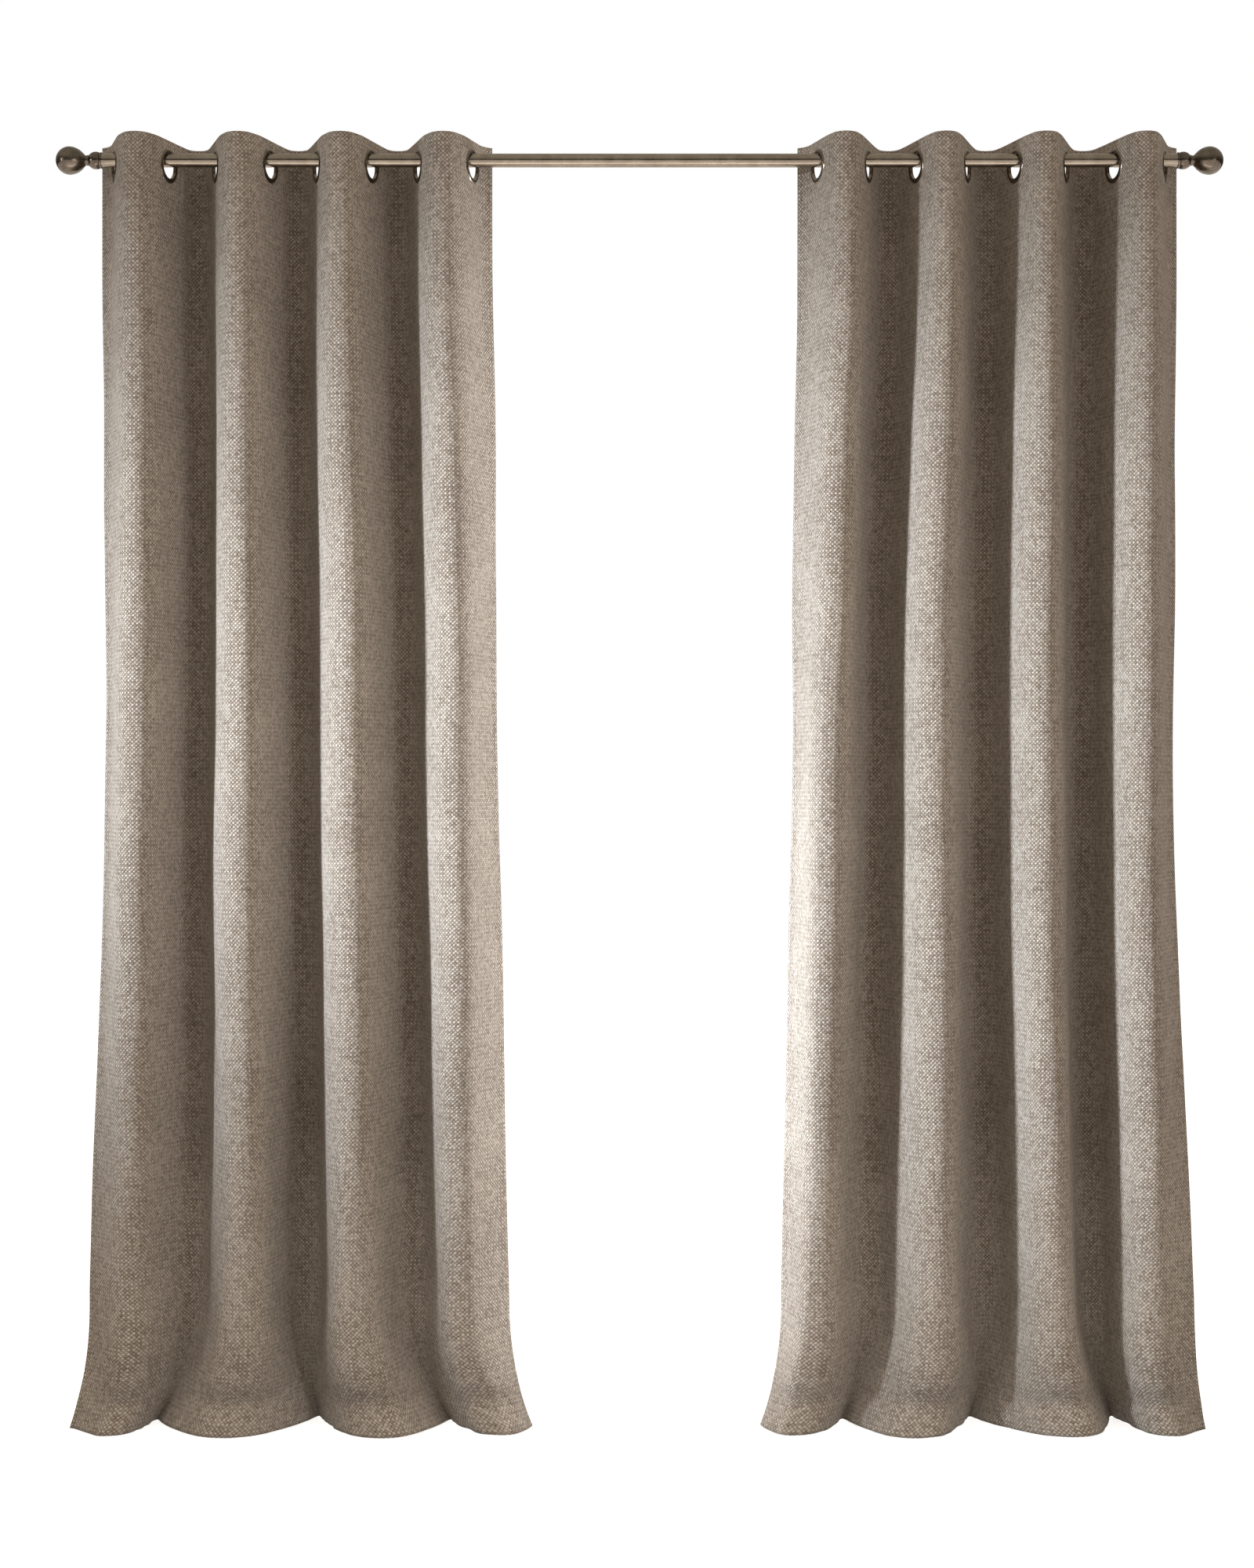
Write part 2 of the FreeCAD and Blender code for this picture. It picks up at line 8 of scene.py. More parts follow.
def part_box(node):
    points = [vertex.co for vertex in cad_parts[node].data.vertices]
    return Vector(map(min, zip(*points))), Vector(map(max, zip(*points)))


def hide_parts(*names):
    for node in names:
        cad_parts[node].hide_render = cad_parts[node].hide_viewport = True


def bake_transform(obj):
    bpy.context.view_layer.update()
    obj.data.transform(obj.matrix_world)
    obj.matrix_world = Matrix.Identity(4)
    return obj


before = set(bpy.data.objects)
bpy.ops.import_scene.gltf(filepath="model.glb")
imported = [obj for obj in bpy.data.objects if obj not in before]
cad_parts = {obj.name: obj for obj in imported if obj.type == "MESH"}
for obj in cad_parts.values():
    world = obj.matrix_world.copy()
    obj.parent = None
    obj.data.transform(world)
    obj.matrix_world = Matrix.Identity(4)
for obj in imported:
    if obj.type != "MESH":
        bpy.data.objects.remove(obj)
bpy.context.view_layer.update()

# Metres, in the CAD frame: the wall is y = 0, the room is on its -Y side, +Z is up and the floor
# is at the foot of the cloth. Each panel has its own coordinates: along runs from its outer
# grommet towards its leading edge, out runs from the rod's axis into the room, and flat_x and
# flat_y are places on the flat cloth, from its outer top corner.
SIDES = {"left": 1, "right": -1}
GROMMETS = 8


def middle(node):
    """The centre of a CAD node's box."""
    low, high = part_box(node)
    return (low + high) / 2


ROD_Y = middle("rod_tube").y
RING_Z = middle("left_eyelet_1").z
RINGS = {s: [middle(f"{s}_eyelet_{i}").x for i in range(1, GROMMETS + 1)] for s in SIDES}
HEADER_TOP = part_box("left_pleat_1")[1].z
FLOOR_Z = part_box("left_pleat_1")[0].z

# ---------------------------------------------------------------------------------------------
# Camera and stage
# ---------------------------------------------------------------------------------------------
EYE_X = -0.0205
EYE_DISTANCE = 4.25
EYE_HEIGHT = 1.052
LENS = 59.76
WHITE_ROOM = (1, 1, 1, 1)
DIM_ROOM = (0.66, 0.565, 0.475, 1)
MIRRORED_LOW = (0.05, (0.05, 0.044, 0.036, 1))
MIRRORED_HIGH = (0.55, (0.62, 0.58, 0.5, 1))
# name, how far below the cloth's foot, grey, glow
FLOORS = (("floor", 0.0005, 0.88, 0.74), ("under_floor", 0.001, 0.22, 0))
FLOOR_REACH = 12.0


def add_camera():
    """A level camera at mid height, square on to the rod."""
    camera = bpy.data.objects.new("camera", bpy.data.cameras.new("camera"))
    camera.data.lens = LENS
    camera.location = (EYE_X, ROD_Y - EYE_DISTANCE, FLOOR_Z + EYE_HEIGHT)
    camera.rotation_euler = (math.radians(90), 0, 0)
    bpy.context.scene.collection.objects.link(camera)
    bpy.context.scene.camera = camera


def aim(thing, target):
    """Turns a light to face a point."""
    way = Vector(target) - thing.location
    thing.rotation_mode = "QUATERNION"
    thing.rotation_quaternion = way.to_track_quat("-Z", "Y")


def add_spot(name, place, target, power, angle, fade, softness, colour):
    """A round studio lamp whose edge fades out."""
    light = bpy.data.lights.new(name, "SPOT")
    light.energy = power
    light.spot_size = math.radians(angle)
    light.spot_blend = fade
    light.shadow_soft_size = softness
    light.color = colour
    lamp = bpy.data.objects.new(name, light)
    lamp.location = place
    bpy.context.scene.collection.objects.link(lamp)
    aim(lamp, target)
    lamp.visible_camera = False


def add_panel_light(name, place, target, power, size, colour, spread=180):
    """A rectangular softbox, size = (width, height)."""
    light = bpy.data.lights.new(name, "AREA")
    light.shape = "RECTANGLE"
    light.size, light.size_y = size
    light.energy = power
    light.color = colour
    light.spread = math.radians(spread)
    lamp = bpy.data.objects.new(name, light)
    lamp.location = place
    bpy.context.scene.collection.objects.link(lamp)
    aim(lamp, target)
    lamp.visible_camera = False
    return lamp


def add_room():
    """White behind the object, a dimmer warm room light on it, and in the metal's gloss a
    room that is dark below and pale above."""
    world = bpy.data.worlds.new("room")
    bpy.context.scene.world = world
    world.use_nodes = True
    tree = world.node_tree
    tree.nodes.clear()
    lit = tree.nodes.new("ShaderNodeBackground")
    lit.inputs["Color"].default_value = DIM_ROOM
    seen = tree.nodes.new("ShaderNodeBackground")
    seen.inputs["Color"].default_value = WHITE_ROOM
    path = tree.nodes.new("ShaderNodeLightPath")
    way = tree.nodes.new("ShaderNodeTexCoord")
    parts = tree.nodes.new("ShaderNodeSeparateXYZ")
    steps = tree.nodes.new("ShaderNodeValToRGB")
    for element, stop in zip(steps.color_ramp.elements, (MIRRORED_LOW, MIRRORED_HIGH)):
        element.position, element.color = stop
    mirrored = tree.nodes.new("ShaderNodeBackground")
    glossy = tree.nodes.new("ShaderNodeMixShader")
    tree.links.new(way.outputs["Generated"], parts.inputs[0])
    tree.links.new(parts.outputs["Z"], steps.inputs["Fac"])
    tree.links.new(steps.outputs["Color"], mirrored.inputs["Color"])
    tree.links.new(path.outputs["Is Glossy Ray"], glossy.inputs[0])
    tree.links.new(lit.outputs[0], glossy.inputs[1])
    tree.links.new(mirrored.outputs[0], glossy.inputs[2])
    mix = tree.nodes.new("ShaderNodeMixShader")
    out = tree.nodes.new("ShaderNodeOutputWorld")
    tree.links.new(path.outputs["Is Camera Ray"], mix.inputs[0])
    tree.links.new(glossy.outputs[0], mix.inputs[1])
    tree.links.new(seen.outputs[0], mix.inputs[2])
    tree.links.new(mix.outputs[0], out.inputs["Surface"])
    bpy.context.scene.view_settings.view_transform = "Standard"


def add_floor():
    """A plain pale floor, and under it the dim one that the cloth's shade comes from."""
    reach = FLOOR_REACH
    corners = [(-reach, -reach), (reach, -reach), (reach, reach), (-reach, reach)]
    for name, below, grey, glow in FLOORS:
        mesh = bpy.data.meshes.new(name)
        mesh.from_pydata([(x, y, FLOOR_Z - below) for x, y in corners], [], [(0, 1, 2, 3)])
        floor = bpy.data.objects.new(name, mesh)
        bpy.context.scene.collection.objects.link(floor)
        material = bpy.data.materials.new(name)
        material.use_nodes = True
        shader = material.node_tree.nodes["Principled BSDF"]
        shader.inputs["Base Color"].default_value = (grey, grey * 0.99, grey * 0.98, 1)
        shader.inputs["Roughness"].default_value = 0.9
        shader.inputs["Emission Color"].default_value = (1, 1, 1, 1)
        shader.inputs["Emission Strength"].default_value = glow
        mesh.materials.append(material)
        if glow:
            floor.visible_diffuse = False
            floor.visible_shadow = False
        else:
            floor.visible_camera = False
            floor.visible_glossy = False


def light_curtains():
    """Daylight from the left and through the gap between the panels, and a soft fill."""
    add_spot("key", (-5.6, -2.95, -0.25), (0.35, ROD_Y, -1.01), 3250, 17.6, 0.7, 0.4,
             (0.83, 0.91, 1.0))
    add_spot("fill", (3.4, -5.2, -0.9), (-0.3, ROD_Y, -0.95), 470, 25, 1.0, 0.9, (1, 0.93, 0.86))
    add_panel_light("gap_left", (0.22, 0.07, -1.05), (-0.30, -0.12, -1.05), 3.6, (0.10, 1.9),
                    (0.95, 0.97, 1.0), 100)
    add_panel_light("gap_right", (-0.22, 0.07, -1.50), (0.27, -0.12, -1.50), 2.3, (0.10, 1.1),
                    (0.95, 0.97, 1.0), 100)
    add_panel_light("foot", (0, -0.62, -1.42), (0, -0.15, -2.06), 0.8, (2.0, 0.08),
                    (1, 0.96, 0.91), 80)
    # only the rod and rings mirror this one
    low_card = add_panel_light("low_card", (0, -1.25, -1.95), (0, ROD_Y, 0), 9, (2.6, 0.25),
                               (1, 0.95, 0.88))
    low_card.visible_diffuse = False


add_camera()
add_room()
add_floor()
light_curtains()

# ---------------------------------------------------------------------------------------------
# The lie of the cloth
# ---------------------------------------------------------------------------------------------
CLOTH_WIDTH = 1.296
CLOTH_LENGTH = 2.134
PITCH_FLAT = 0.168
EDGE_FLAP = 0.060
LEAF_ANGLE = math.radians(71)
EDGE_ANGLE = math.radians(22)
FLAT_ROUND_RING = 0.030
FOLD_FLAT = 0.024
CREST_FLAT = [EDGE_FLAP + PITCH_FLAT * (k - 0.5) for k in range(1, GROMMETS)]

# How much a leg's foot is drawn in to its trough, and up to what height; and how far forward a
# fold comes before it is held back.
CLEFT, CLEFT_HEIGHT = 0.92, 0.24
MOST_OUT, HELD_BACK = 0.062, 0.75
# Where the folds lie, from the outer edge over each crest and trough to the leading edge: along
# the rod at two heights and at the hem, and out at the hem, in millimetres. The shares are those
# of the cloth's width between them at the hem. The header's folds follow from the grommets.
LEVELS = (-0.89, -1.85)
# The share of a leg over which it turns at a crest, at a trough and at a free edge, and how much
# of its steepest heading it already has at the outer and the leading edge.
CREST_ROUND, TROUGH_ROUND, EDGE_RAMP = 0.36, 0.26, 0.25
OUTER_EDGE_TURN, LEADING_EDGE_TURN = 0.45, 0.72
LIE = {
    "left": {
        "middle": (-24, 42, 127, 213, 299, 386, 472, 558, 621),
        "low": (-44, 26, 120, 218, 307, 398, 485, 573, 644),
        "hem": (-76, -8, 58, 190, 328, 440, 549, 634, 684),
        "hem_out": (5, 50, -52, 63, -78, 68, -52, 43, -12),
        "hem_share": (87, 130, 205, 228, 224, 192, 140, 90),
    },
    "right": {
        "middle": (-24, 42, 125, 209, 294, 380, 466, 551, 604),
        "low": (-42, 33, 110, 190, 284, 380, 478, 573, 625),
        "hem": (-66, -10, 72, 156, 311, 413, 523, 607, 662),
        "hem_out": (12, 50, -76, 56, -74, 66, -56, 45, -20),
        "hem_share": (78, 172, 180, 226, 198, 190, 148, 104),
    },
}
MILLI = 0.001
# The folds leave the grommets' spacing below RELAX_TOP and take the hem's share of the cloth
# below DRIFT_TOP. The powers say how late each change comes.
RELAX_TOP, DRIFT_TOP = -0.04, -0.7
LOWER_POWER, FLARE_POWER, DRIFT_POWER = 1.4, 2.3, 1.6
# how much sooner a leg turns at the hem, at a crest and at a trough
CREST_SHARPER, TROUGH_SHARPER = 0.02, 0.06
TROUGH_SWELL = -0.25
SAMPLES = 96
MOST_TURN = 2.4
HALVINGS, HEADER_HALVINGS = 26, 30
# out, height over the floor and reach of the crests' swell and dimple, and the hem's kick
FOOT_SHAPE = ((0.007, 0.14, 0.07), (-0.016, 0.050, 0.024))
HEM_KICK, HEM_KICK_HEIGHT = 0.007, 0.014
# places in Blender's noise, which is the same each run
SWAY_SEED = {"left": 3.0, "right": 11.0}
WRINKLE_SEED = {"left": 5.0, "right": 29.0}
SWAY, SWAY_TOP, SWAY_FADE = 0.006, -0.1, 0.5
WRINKLE, FOOT_WRINKLE, FOOT_ROUGH = 0.0022, 0.003, 0.12
# weight, waves across, waves down, place in the noise
WRINKLES = ((0.6, 22, 3.1, 0.3), (0.4, 60, 6.0, 7.7))
SEAM_DIMPLE, SEAM_HALF_WIDTH = 0.0008, 0.0012
# the header keeps its shape down to here, below the rings, and hands over to the folds in
# HEADER_FADE and to the wrinkles in WRINKLE_FADE
HEADER_FOOT = -0.045
HEADER_FADE, WRINKLE_FADE, FOLLOW_FADE = 0.4, 0.25, 0.25


def smooth(x):
    """0 below 0, 1 above 1, with a soft ramp between."""
    x = np.clip(x, 0, 1)
    return x * x * (3 - 2 * x)


def header_places():
    """Where a header leaf's slope changes, from its grommet towards the fold's top."""
    return [FLAT_ROUND_RING, FLAT_ROUND_RING + 0.018, PITCH_FLAT / 2 - FOLD_FLAT]


def header_slope(pitch):
    """The slope of a header leaf near its fold, for grommets hung at that pitch."""
    places = np.linspace(0, PITCH_FLAT / 2, 841)
    low, high = 0.4, 1.6
    for _ in range(HEADER_HALVINGS):
        slope = (low + high) / 2
        turn = np.interp(places, [*header_places(), PITCH_FLAT / 2],
                         [LEAF_ANGLE, slope, slope, 0])
        reach = np.cos(turn).mean() * PITCH_FLAT
        low, high = (slope, high) if reach > pitch else (low, slope)
    return slope


def header_curve(side, flat_x):
    """(along, out) of the header at places on the flat cloth: flat leaves through the grommets
    with a round fold between each pair, and side edges that curl out."""
    rings = [SIDES[side] * (x - RINGS[side][0]) for x in RINGS[side]]
    knots, heading = [0.0, EDGE_FLAP - FLAT_ROUND_RING], [EDGE_ANGLE, LEAF_ANGLE]
    for i in range(GROMMETS - 1):
        at = EDGE_FLAP + PITCH_FLAT * i
        sign = 1 if i % 2 == 0 else -1
        slope = header_slope(rings[i + 1] - rings[i])
        places = header_places()
        knots += [at + p for p in places] + [at + PITCH_FLAT - p for p in places[::-1]]
        turns = [LEAF_ANGLE, slope, slope]
        heading += [sign * t for t in turns] + [-sign * t for t in turns[::-1]]
    knots += [CLOTH_WIDTH - EDGE_FLAP + FLAT_ROUND_RING, CLOTH_WIDTH]
    heading += [-LEAF_ANGLE, -EDGE_ANGLE]
    fine = np.linspace(0, CLOTH_WIDTH, 12961)
    turn = np.interp(fine, knots, heading)
    step = fine[1] - fine[0]
    along = np.concatenate([[0], np.cumsum((np.cos(turn[1:]) + np.cos(turn[:-1])) / 2) * step])
    out = np.concatenate([[0], np.cumsum((np.sin(turn[1:]) + np.sin(turn[:-1])) / 2) * step])
    along -= np.interp(EDGE_FLAP, fine, along)
    out -= np.interp(EDGE_FLAP, fine, out)
    return np.interp(flat_x, fine, along), np.interp(flat_x, fine, out)


def leg_shape(angle, crest_ramp, trough_ramp, edge_start):
    """How the cloth turns along each leg from one fold's top to the next: its heading at
    SAMPLES places, where angle is the steepest. Arrays are (rows, legs, samples)."""
    t = np.linspace(0, 1, SAMPLES)
    rise = np.sin(np.clip(t / crest_ramp[..., None], 0, 1) * math.pi / 2)
    fall = np.sin(np.clip((1 - t) / trough_ramp[..., None], 0, 1) * math.pi / 2)
    rise = edge_start[..., None] + (1 - edge_start[..., None]) * rise
    return angle[..., None] * rise * fall


def steepest(across, along_cloth, crest_ramp, trough_ramp, edge_start):
    """The steepest heading that fits along_cloth of cloth into the distance across."""
    low, high = np.zeros_like(across), np.full_like(across, MOST_TURN)
    wanted = np.clip(across / along_cloth, 0.05, 0.995)
    for _ in range(HALVINGS):
        guess = (low + high) / 2
        heading = leg_shape(guess, crest_ramp, trough_ramp, edge_start)
        too_wide = np.cos(heading).mean(-1) > wanted
        low, high = np.where(too_wide, guess, low), np.where(too_wide, high, guess)
    return (low + high) / 2


def fits(across, depth, crest_ramp, trough_ramp, edge_start):
    """The steepest heading whose leg goes across and out in that proportion."""
    low, high = np.full_like(across, 0.01), np.full_like(across, MOST_TURN)
    wanted = across / np.maximum(depth, 1e-4)
    for _ in range(HALVINGS):
        guess = (low + high) / 2
        heading = leg_shape(guess, crest_ramp, trough_ramp, edge_start)
        ratio = np.cos(heading).mean(-1) / np.maximum(np.sin(heading).mean(-1), 1e-6)
        too_flat = ratio > wanted
        low, high = np.where(too_flat, guess, low), np.where(too_flat, high, guess)
    return (low + high) / 2


def tracks(side, z):
    """For each height: how far along each fold's top lies, and its place on the flat cloth."""
    lie = LIE[side]
    extremes = np.array([0, *CREST_FLAT, CLOTH_WIDTH])
    header_along = header_curve(side, extremes)[0]
    middle_along, low_along, hem_along = (
        np.array(lie[k]) * MILLI for k in ("middle", "low", "hem")
    )
    share = np.concatenate([[0], np.cumsum(lie["hem_share"])]).astype(float)
    hem_flat = share / share[-1] * CLOTH_WIDTH
    first, second = LEVELS
    upper = smooth((RELAX_TOP - z) / (RELAX_TOP - first))[:, None]
    lower = np.clip((first - z) / (first - second), 0, 1)[:, None] ** LOWER_POWER
    flare = np.clip((second - z) / (second - FLOOR_Z), 0, 1)[:, None] ** FLARE_POWER
    along = header_along + upper * (middle_along - header_along)
    along = along + lower * (low_along - middle_along) + flare * (hem_along - low_along)
    drift = smooth((DRIFT_TOP - z) / (DRIFT_TOP - FLOOR_Z))[:, None] ** DRIFT_POWER
    flat = extremes + drift * (hem_flat - extremes)
    seed = SWAY_SEED[side]
    for k in range(len(extremes)):
        sway = np.array([noise.noise((seed, 7.3 * k, 2.2 * h)) for h in z])
        along[:, k] += SWAY * sway * smooth((SWAY_TOP - z) / SWAY_FADE)
    return along, flat, flare[:, 0]


def pinch(going, from_trough, strength):
    """Draws a leg's foot in towards its trough, so that broad toes have narrow clefts between."""
    from_it = going if from_trough else 1 - going
    from_it = from_it - strength * from_it * (1 - from_it) ** 1.5
    return from_it if from_trough else 1 - from_it


def plan_rows(side, z, flat_x):
    """(along, out) of the cloth below the header, for every height and flat place."""
    along, flat, flare = tracks(side, z)
    legs = len(along[0]) - 1
    ease = np.broadcast_to(flare[:, None], (len(z), legs))
    starts_at_crest = np.array([k % 2 == 1 for k in range(legs)])
    round_end = CREST_ROUND - CREST_SHARPER * ease
    sharp_end = TROUGH_ROUND - TROUGH_SHARPER * ease
    first_ramp = np.where(starts_at_crest, round_end, sharp_end)
    last_ramp = np.where(starts_at_crest, sharp_end, round_end)
    edge_start = np.zeros((len(z), legs))
    # the first and last legs start at a free edge: the last is drawn from its edge backwards
    first_ramp[:, 0] = first_ramp[:, -1] = EDGE_RAMP
    last_ramp[:, 0], last_ramp[:, -1] = round_end[:, 0], round_end[:, -1]
    edge_start[:, 0], edge_start[:, -1] = OUTER_EDGE_TURN, LEADING_EDGE_TURN
    across = np.diff(along, axis=1)
    cloth = np.diff(flat, axis=1)
    angle = steepest(across, cloth, first_ramp, last_ramp, edge_start)
    depth = cloth * np.sin(leg_shape(angle, first_ramp, last_ramp, edge_start)).mean(-1)
    tops = np.zeros_like(along)
    for k in range(1, legs):
        sense = 1 if k % 2 == 1 else -1
        tops[:, k] = sense * (depth[:, k - 1] + depth[:, k]) / 4
    tops[:, 1], tops[:, -2] = depth[:, 1] / 2, depth[:, -2] / 2
    tops[:, 0] = tops[:, 1] - depth[:, 0]
    tops[:, -1] = tops[:, -2] - depth[:, -1]
    hem_out = np.array(LIE[side]["hem_out"]) * MILLI
    tops = tops + flare[:, None] * (hem_out - tops)
    tops = tops - HELD_BACK * np.maximum(tops - MOST_OUT, 0)
    tops = tops + floor_swell(z, tops)
    rise = np.abs(np.diff(tops, axis=1))
    angle = fits(across, rise, first_ramp, last_ramp, edge_start)
    heading = leg_shape(angle, first_ramp, last_ramp, edge_start)
    going, standing = np.cumsum(np.cos(heading), -1), np.cumsum(np.sin(heading), -1)
    going = (going - going[..., :1]) / (going[..., -1:] - going[..., :1])
    standing = (standing - standing[..., :1]) / (standing[..., -1:] - standing[..., :1])
    places = np.linspace(0, 1, SAMPLES)
    cleft = CLEFT * smooth((CLEFT_HEIGHT - (z - FLOOR_Z)) / CLEFT_HEIGHT)
    x_rows, out_rows = np.zeros((2, len(z), len(flat_x)))
    for row in range(len(z)):
        leg = np.clip(np.searchsorted(flat[row], flat_x, side="right") - 1, 0, legs - 1)
        part = (flat_x - flat[row][leg]) / cloth[row][leg]
        for k in range(legs):
            here = leg == k
            at = part[here]
            if k == legs - 1:
                g = 1 - np.interp(1 - at, places, going[row, k])
                s = 1 - np.interp(1 - at, places, standing[row, k])
            else:
                g = np.interp(at, places, going[row, k])
                s = np.interp(at, places, standing[row, k])
            if k > 0:
                g = pinch(g, k % 2 == 0, cleft[row])
            x_rows[row, here] = along[row, k] + across[row, k] * g
            out_rows[row, here] = tops[row, k] + (tops[row, k + 1] - tops[row, k]) * s
    return x_rows, out_rows


def floor_swell(z, tops):
    """How each crest swells over the floor, pinches in just above it and kicks out at the hem."""
    height = z - FLOOR_Z
    profile = sum(
        out * np.exp(-(((height - place) / reach) ** 2)) for out, place, reach in FOOT_SHAPE
    )
    profile = profile + HEM_KICK * np.exp(-height / HEM_KICK_HEIGHT)
    crest = np.array([1.0 if k % 2 == 1 else TROUGH_SWELL for k in range(tops.shape[1])])
    return profile[:, None] * crest


def cloth_lines():
    """The lines of the flat cloth's grid: places across, and heights down."""
    across = list(np.linspace(0, EDGE_FLAP - FLAT_ROUND_RING, EDGE_LINES)[:-1])
    for i in range(GROMMETS):
        at = EDGE_FLAP + PITCH_FLAT * i
        before, after = at - FLAT_ROUND_RING, at + FLAT_ROUND_RING
        across += list(np.linspace(before, after, RING_LINES)[:-1])
        following = at + PITCH_FLAT - FLAT_ROUND_RING
        if i < GROMMETS - 1:
            across += list(np.linspace(after, following, LEAF_LINES)[:-1])
    last_flap = CLOTH_WIDTH - EDGE_FLAP + FLAT_ROUND_RING
    across += list(np.linspace(last_flap, CLOTH_WIDTH, EDGE_LINES))
    top, foot = RING_Z + FLAT_ROUND_RING, RING_Z - FLAT_ROUND_RING
    heights = [HEADER_TOP, HEADER_TOP - 0.002, HEADER_TOP - 0.006]
    heights += list(np.linspace(top, foot, RING_LINES))
    heights += list(np.linspace(foot - 0.006, DROP_FOOT, DROP_LINES))
    heights += list(np.linspace(FOOT_TOP, FLOOR_Z + 0.0012, FOOT_LINES))
    stitched = [height_at(HEADER_BAND), height_at(CLOTH_LENGTH - FOOT_HEM)]
    heights = [
        h for h in heights
        if h >= foot or min(abs(h - line) for line in stitched) > SEAM_CLEAR
    ]
    heights += [line + step for line in stitched for step in SEAM_LINES]
    return np.array(across), np.array(sorted(heights, reverse=True))


def height_at(flat_y):
    """The height of a place down the flat cloth."""
    return HEADER_TOP - flat_y / CLOTH_LENGTH * (HEADER_TOP - FLOOR_Z)


def flat_y_at(height):
    """The place down the flat cloth of a height."""
    return (HEADER_TOP - height) / (HEADER_TOP - FLOOR_Z) * CLOTH_LENGTH


def cloth_surface(side, flat_x, z):
    """The cloth's middle surface as rows of (along, out, height)."""
    head_x, head_out = header_curve(side, flat_x)
    fold_x, fold_out = plan_rows(side, z, flat_x)
    share = smooth((HEADER_FOOT - z) / HEADER_FADE)[:, None]
    along = head_x + share * (fold_x - head_x)
    out = head_out + share * (fold_out - head_out)
    height = np.repeat(z[:, None], len(flat_x), axis=1)
    surface = np.stack([along, out, height], -1)
    normal = surface_normals(surface)
    seed = WRINKLE_SEED[side]
    wrinkle = np.array(
        [
            [
                sum(
                    weight * noise.noise((seed + across * fx, down * h, place))
                    for weight, across, down, place in WRINKLES
                )
                for fx in flat_x
            ]
            for h in z
        ]
    )
    calm = smooth((HEADER_FOOT - z) / WRINKLE_FADE)[:, None]
    rough_foot = np.exp(-(z - FLOOR_Z) / FOOT_ROUGH)[:, None]
    lift = wrinkle * calm * (WRINKLE + FOOT_WRINKLE * rough_foot)
    for line in (HEADER_BAND, CLOTH_LENGTH - FOOT_HEM):
        away = (z - height_at(line)) / SEAM_HALF_WIDTH
        lift -= SEAM_DIMPLE * np.exp(-(away**2))[:, None]
    return surface + normal * lift[..., None]


def surface_normals(surface):
    """The unit normals of a grid, on the room side."""
    across = np.gradient(surface, axis=1)
    down = np.gradient(surface, axis=0)
    normal = np.cross(across, down)
    return normal / np.linalg.norm(normal, axis=-1, keepdims=True)


THIN = 0.0011
THICK = 0.0016
HEADER_BAND = 0.079
FOOT_HEM = 0.095
SIDE_HEM = 0.026
HOLE_RADIUS = 0.0216
# The grid's lines: across an edge flap, a ring's square and the leaf between two rings, and
# down a ring's square, the drop and the foot, which is finer. A seam has lines of its own.
EDGE_LINES, RING_LINES, LEAF_LINES = 7, 11, 21
DROP_LINES, FOOT_LINES = 150, 44
DROP_FOOT, FOOT_TOP = -1.82, -1.828
SEAM_LINES, SEAM_CLEAR = (-0.003, -0.001, 0, 0.001, 0.003), 0.0035
# the mesh round each hole goes in these steps from the square grid to the round rim
PATCH_RINGS = (0.4, 0.8, 1.0)


